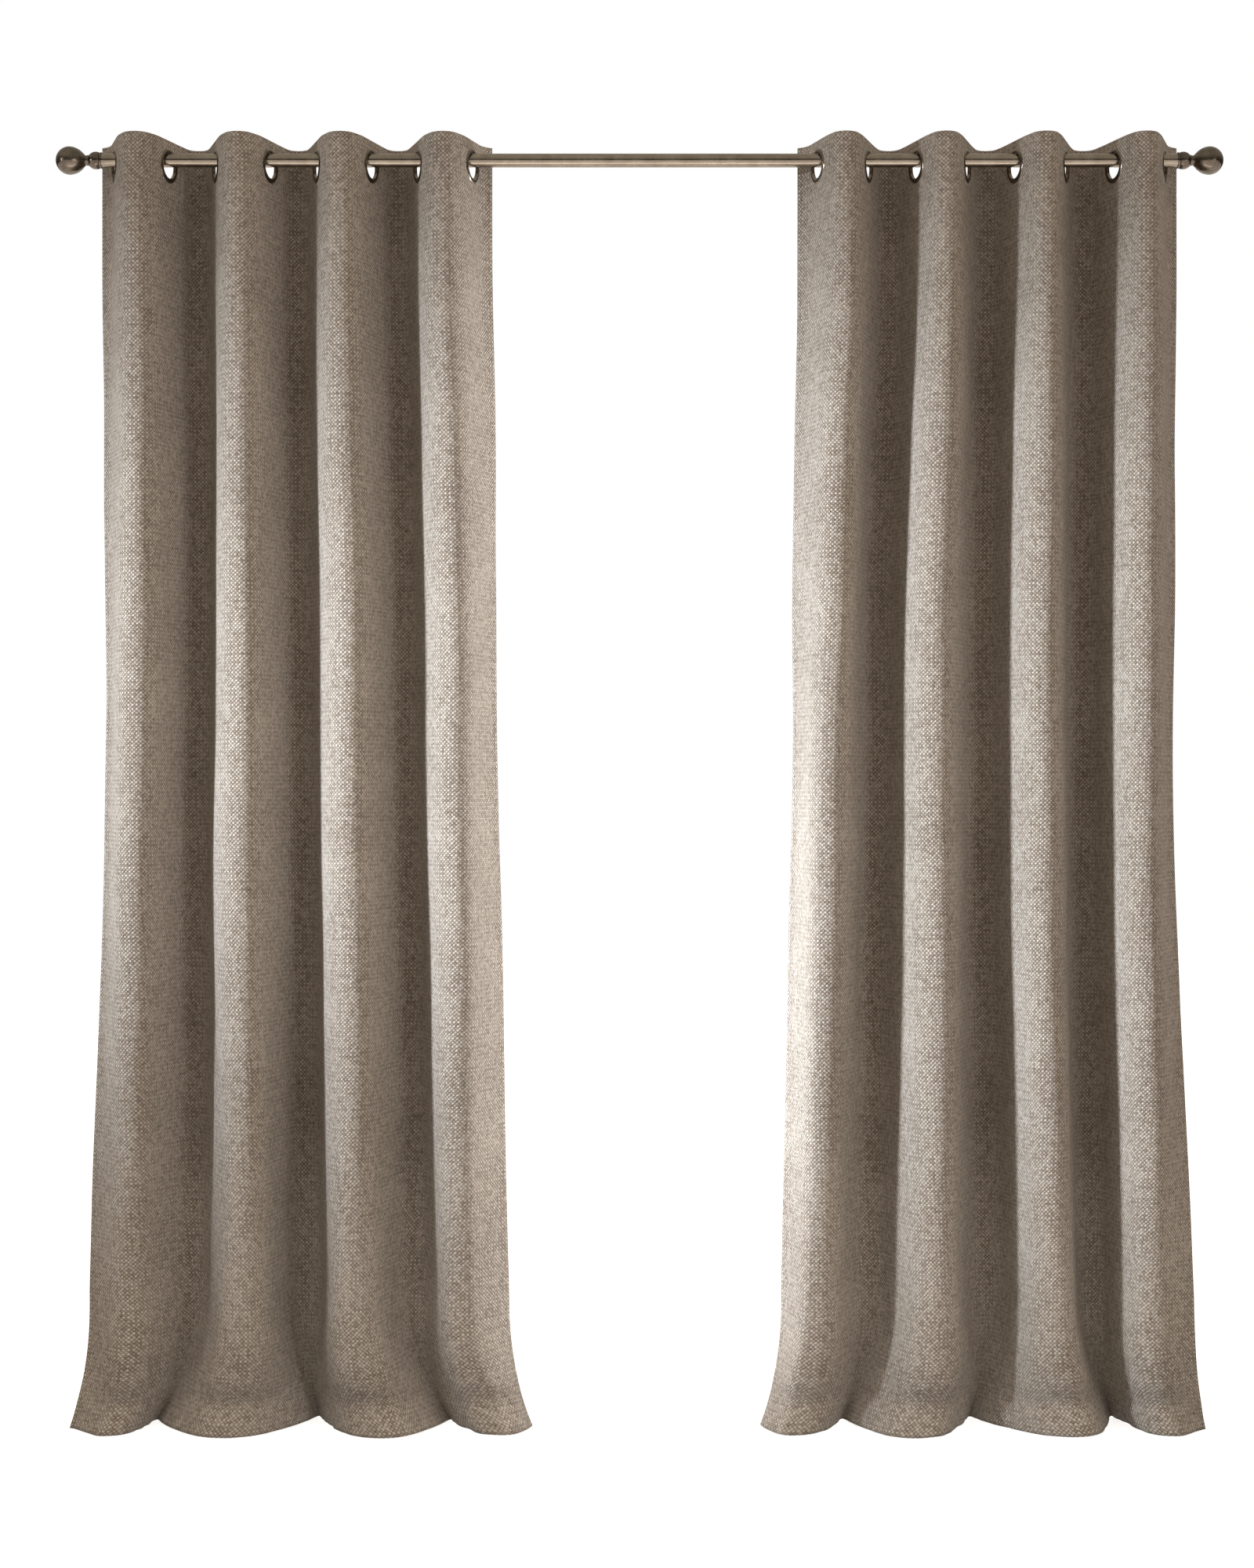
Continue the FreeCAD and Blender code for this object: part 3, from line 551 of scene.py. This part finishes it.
def build_cloth(side):
    """One panel's middle surface: points, normals, flat places, faces, border and hole rims."""
    flat_x, z = cloth_lines()
    surface = cloth_surface(side, flat_x, z)
    normal = surface_normals(surface)
    rows, columns = len(z), len(flat_x)
    grid_flat = np.stack(np.meshgrid(flat_x, flat_y_at(z)), -1)
    points, normals, flats = (
        surface.reshape(-1, 3).tolist(),
        normal.reshape(-1, 3).tolist(),
        grid_flat.reshape(-1, 2).tolist(),
    )
    faces, removed, hole_rims = [], set(), []
    row_of = {round(float(h), 5): r for r, h in enumerate(z)}
    top = row_of[round(RING_Z + FLAT_ROUND_RING, 5)]
    foot = row_of[round(RING_Z - FLAT_ROUND_RING, 5)]
    for i in range(GROMMETS):
        at = EDGE_FLAP + PITCH_FLAT * i
        first = int(np.argmin(abs(flat_x - (at - FLAT_ROUND_RING))))
        last = int(np.argmin(abs(flat_x - (at + FLAT_ROUND_RING))))
        removed |= {(r, c) for r in range(top, foot) for c in range(first, last)}
        rim = [(top, c) for c in range(first, last)]
        rim += [(r, last) for r in range(top, foot)]
        rim += [(foot, c) for c in range(last, first, -1)]
        rim += [(r, first) for r in range(foot, top, -1)]
        loops = [[r * columns + c for r, c in rim]]
        side_way = 1 if i % 2 == 0 else -1
        leaf_normal = [-side_way * math.sin(LEAF_ANGLE), math.cos(LEAF_ANGLE), 0]
        for share in PATCH_RINGS:
            loop = []
            for r, c in rim:
                away = np.array([flat_x[c] - at, z[r] - RING_Z])
                on_hole = away / np.linalg.norm(away) * HOLE_RADIUS
                place = away + share * (on_hole - away)
                head_x, head_out = header_curve(side, np.array([at + place[0]]))
                height = RING_Z + place[1]
                points.append([head_x[0], head_out[0], height])
                flats.append([at + place[0], flat_y_at(height)])
                normals.append(leaf_normal)
                loop.append(len(points) - 1)
            loops.append(loop)
        for outer, inner in zip(loops, loops[1:]):
            for k in range(len(outer)):
                n = (k + 1) % len(outer)
                faces.append((outer[k], inner[k], inner[n], outer[n]))
        hole_rims.append(loops[-1])
    for r in range(rows - 1):
        for c in range(columns - 1):
            if (r, c) not in removed:
                a = r * columns + c
                faces.append((a, a + columns, a + columns + 1, a + 1))
    border = list(range(columns))
    border += [r * columns + columns - 1 for r in range(1, rows)]
    border += [(rows - 1) * columns + c for c in range(columns - 2, -1, -1)]
    border += [r * columns for r in range(rows - 2, 0, -1)]
    return points, normals, flats, faces, border, hole_rims


def panel_to_space(side, points):
    """Panel coordinates to the CAD frame."""
    p = np.array(points)
    x = RINGS[side][0] + SIDES[side] * p[:, 0]
    return np.stack([x, ROD_Y - p[:, 1], p[:, 2]], -1)


def hem_share(flats):
    """1 where the cloth is folded double, at the header, foot and side hems, and 0 elsewhere."""
    x, y = flats[:, 0], flats[:, 1]
    edge = 0.0015
    header = smooth((HEADER_BAND - y) / edge + 0.5)
    foot = smooth((y - (CLOTH_LENGTH - FOOT_HEM)) / edge + 0.5)
    sides = smooth((SIDE_HEM - np.minimum(x, CLOTH_WIDTH - x)) / edge + 0.5)
    return np.maximum(np.maximum(header, foot), sides)


def make_panel(side, material):
    """The finished cloth of one panel, with its weave coordinates."""
    points, normals, flats, faces, border, holes = build_cloth(side)
    middle_points = panel_to_space(side, points)
    n = np.array(normals)
    n = np.stack([SIDES[side] * n[:, 0], -n[:, 1], n[:, 2]], -1)
    double = hem_share(np.array(flats))
    front = middle_points + n * THICK / 2
    back = middle_points - n * (THIN - THICK / 2 + (THICK - THIN) * double)[:, None]
    count = len(points)
    if SIDES[side] < 0:
        faces = [f[::-1] for f in faces]
        border, holes = border[::-1], [h[::-1] for h in holes]
    shell = list(faces) + [tuple(v + count for v in f[::-1]) for f in faces]
    for loop in [border] + [h[::-1] for h in holes]:
        for k in range(len(loop)):
            a, b = loop[k], loop[(k + 1) % len(loop)]
            shell.append((a, b, b + count, a + count))
    mesh = bpy.data.meshes.new(f"{side}_curtain")
    mesh.from_pydata(np.concatenate([front, back]).tolist(), [], shell)
    mesh.validate()
    mesh.polygons.foreach_set("use_smooth", [True] * len(mesh.polygons))
    weave = mesh.uv_layers.new(name="flat_cloth")
    flat = np.array(flats * 2, np.float32)
    corner = np.zeros(len(mesh.loops), np.int32)
    mesh.loops.foreach_get("vertex_index", corner)
    weave.data.foreach_set("uv", flat[corner].ravel())
    mesh.materials.append(material)
    panel = bpy.data.objects.new(f"{side}_curtain", mesh)
    bpy.context.scene.collection.objects.link(panel)
    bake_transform(panel)
    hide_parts(*[f"{side}_pleat_{i}" for i in range(1, GROMMETS + 1)])


# ---------------------------------------------------------------------------------------------
# Materials
# ---------------------------------------------------------------------------------------------
WEAVE_REPEAT = 0.0094
YARNS = 6
WANDER = 0.0005


def new_material(name):
    """A material with its node tree and shader."""
    material = bpy.data.materials.new(name)
    material.use_nodes = True
    tree = material.node_tree
    return material, tree, tree.nodes["Principled BSDF"]


def node(tree, kind, inputs=(), **settings):
    """A node with its settings and its inputs: numbers, or another node's output."""
    made = tree.nodes.new(kind)
    for key, value in settings.items():
        setattr(made, key, value)
    for key, value in dict(inputs).items():
        if isinstance(value, bpy.types.NodeSocket):
            tree.links.new(value, made.inputs[key])
        else:
            made.inputs[key].default_value = value
    return made


def maths(tree, operation, *values):
    """One Math node's result."""
    return node(tree, "ShaderNodeMath", dict(enumerate(values)), operation=operation).outputs[0]


def ramp(tree, factor, *stops):
    """A colour ramp: stops are (place, colour)."""
    made = node(tree, "ShaderNodeValToRGB", {"Fac": factor})
    elements = made.color_ramp.elements
    while len(elements) < len(stops):
        elements.new(0.5)
    for element, (place, colour) in zip(elements, stops):
        element.position = place
        element.color = (*colour, 1)
    return made.outputs["Color"]


def cloth_material():
    """A heathered basket weave: cells of upright yarns and cells of level ones by turns, with
    painted shade in the crevices between the cells.
    """
    material, tree, shader = new_material("woven_cloth")
    flat = node(tree, "ShaderNodeUVMap", uv_map="flat_cloth").outputs["UV"]
    slack = node(tree, "ShaderNodeTexNoise", {"Vector": flat, "Scale": 70.0, "Detail": 1.0},
                 noise_dimensions="2D").outputs["Color"]
    wander = node(tree, "ShaderNodeVectorMath", {0: slack, 1: (WANDER, WANDER, 0)},
                  operation="MULTIPLY").outputs[0]
    flat = node(tree, "ShaderNodeVectorMath", {0: flat, 1: wander}, operation="ADD").outputs[0]
    turned = node(tree, "ShaderNodeMapping", {"Vector": flat, "Rotation": (0, 0, math.pi / 4)})
    flat = turned.outputs[0]
    parts = node(tree, "ShaderNodeSeparateXYZ", {"Vector": flat})
    x, y = parts.outputs["X"], parts.outputs["Y"]
    waves = [
        maths(tree, "SINE", maths(tree, "MULTIPLY", v, 2 * math.pi / WEAVE_REPEAT))
        for v in (x, y)
    ]
    cells = maths(tree, "MULTIPLY", *waves)
    counted = node(tree, "ShaderNodeVectorMath", {0: flat, 1: (2 / WEAVE_REPEAT,) * 3},
                   operation="MULTIPLY").outputs[0]
    counted = node(tree, "ShaderNodeVectorMath", {0: counted}, operation="FLOOR").outputs[0]
    chance = node(tree, "ShaderNodeTexWhiteNoise", {"Vector": counted},
                  noise_dimensions="2D").outputs["Value"]
    upright = maths(tree, "MULTIPLY_ADD", maths(tree, "MULTIPLY", cells, 3.0), 0.5, 0.5)
    upright = node(tree, "ShaderNodeClamp", {0: upright}).outputs[0]
    # each cell's puff: it shapes the bump, and in the colour it is painted shade, darker where
    # the cells meet
    cell_puff_and_crevice_shade = maths(tree, "POWER", maths(tree, "ABSOLUTE", cells), 0.8)
    yarn_waves = [
        maths(tree, "ABSOLUTE",
              maths(tree, "SINE", maths(tree, "MULTIPLY", v, YARNS * math.pi / WEAVE_REPEAT)))
        for v in (x, y)
    ]
    ridge = node(tree, "ShaderNodeMix", {0: upright, 2: yarn_waves[1], 3: yarn_waves[0]})
    slubs = []
    for scale in ((1100, 75, 1), (75, 1100, 1)):
        stretched = node(tree, "ShaderNodeMapping", {"Vector": flat, "Scale": scale})
        slubs.append(
            node(tree, "ShaderNodeTexNoise",
                 {"Vector": stretched.outputs[0], "Scale": 1.0, "Detail": 2.0},
                 noise_dimensions="2D").outputs[0]
        )
    slub = node(tree, "ShaderNodeMix", {0: upright, 2: slubs[1], 3: slubs[0]})
    cloudy = node(tree, "ShaderNodeTexNoise", {"Vector": flat, "Scale": 9.0, "Detail": 3.0},
                  noise_dimensions="2D").outputs[0]
    tone = maths(tree, "MULTIPLY_ADD", slub.outputs[0], 0.9, -0.22)
    tone = maths(tree, "ADD", tone, maths(tree, "MULTIPLY", upright, 0.14))
    # painted shade: the cells' middles lighter and the crevices between them darker
    tone = maths(tree, "ADD", tone, maths(tree, "MULTIPLY_ADD", cell_puff_and_crevice_shade, 0.42, -0.04))
    tone = maths(tree, "ADD", tone, maths(tree, "MULTIPLY_ADD", chance, 0.30, -0.15))
    tone = maths(tree, "ADD", tone, maths(tree, "MULTIPLY_ADD", cloudy, 0.20, -0.10))
    colour = ramp(
        tree, tone,
        (0.20, (0.21, 0.162, 0.12)), (0.45, (0.47, 0.395, 0.325)), (0.74, (0.76, 0.685, 0.60)),
    )
    tree.links.new(colour, shader.inputs["Base Color"])
    rough = maths(tree, "MULTIPLY_ADD", slub.outputs[0], -0.3, 0.78)
    tree.links.new(rough, shader.inputs["Roughness"])
    shader.inputs["Specular IOR Level"].default_value = 0.3
    shader.inputs["Sheen Weight"].default_value = 0.3
    shader.inputs["Sheen Roughness"].default_value = 0.4
    shader.inputs["Sheen Tint"].default_value = (1.0, 0.98, 0.95, 1)
    height = maths(tree, "MULTIPLY", slub.outputs[0], 0.5)
    height = maths(tree, "MULTIPLY_ADD", cell_puff_and_crevice_shade, 0.8, height)
    height = maths(tree, "ADD", height, maths(tree, "MULTIPLY", ridge.outputs[0], 0.35))
    height = maths(tree, "MULTIPLY_ADD", maths(tree, "MULTIPLY", chance, cell_puff_and_crevice_shade), 0.6, height)
    bump = node(tree, "ShaderNodeBump", {"Height": height, "Distance": 0.0019, "Strength": 1.0})
    tree.links.new(bump.outputs["Normal"], shader.inputs["Normal"])
    return material


def metal_material(name, dark, light, roughness, streak):
    """An aged metal: brushed along one way, darker in patches, lighter where it is rubbed."""
    material, tree, shader = new_material(name)
    place = node(tree, "ShaderNodeTexCoord").outputs["Object"]
    stretched = node(tree, "ShaderNodeMapping", {"Vector": place, "Scale": streak})
    brushed = node(tree, "ShaderNodeTexNoise",
                   {"Vector": stretched.outputs[0], "Scale": 1.0, "Detail": 4.0}).outputs[0]
    patches = node(tree, "ShaderNodeTexNoise",
                   {"Vector": place, "Scale": 60.0, "Detail": 5.0}).outputs[0]
    mixed = maths(tree, "MULTIPLY_ADD", brushed, 0.4, maths(tree, "MULTIPLY", patches, 0.6))
    colour = ramp(tree, mixed, (0.3, dark), (0.7, light))
    tree.links.new(colour, shader.inputs["Base Color"])
    rough = maths(tree, "MULTIPLY_ADD", mixed, 0.3, roughness - 0.15)
    tree.links.new(rough, shader.inputs["Roughness"])
    shader.inputs["Metallic"].default_value = 1.0
    bump = node(tree, "ShaderNodeBump", {"Height": brushed, "Distance": 0.0002, "Strength": 0.25})
    tree.links.new(bump.outputs["Normal"], shader.inputs["Normal"])
    return material


def dress_frame():
    """Better finishes on the CAD pieces that stay."""
    rod = metal_material(
        "rod_bronze", (0.20, 0.165, 0.13), (0.34, 0.29, 0.235), 0.24, (6, 700, 700)
    )
    finial = metal_material(
        "finial_bronze", (0.075, 0.062, 0.05), (0.20, 0.165, 0.13), 0.27, (260, 260, 260)
    )
    ring = metal_material(
        "grommet_bronze", (0.11, 0.088, 0.07), (0.26, 0.215, 0.17), 0.22, (420, 420, 420)
    )
    bracket = metal_material(
        "bracket_bronze", (0.08, 0.068, 0.055), (0.19, 0.16, 0.13), 0.36, (200, 200, 200)
    )
    finishes = {"rod": rod, "finial": finial, "eyelet": ring, "washer": ring, "bracket": bracket}
    for name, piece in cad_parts.items():
        for word, material in finishes.items():
            if word in name:
                piece.data.materials.clear()
                piece.data.materials.append(material)


dress_frame()
cloth = cloth_material()
for side in SIDES:
    make_panel(side, cloth)
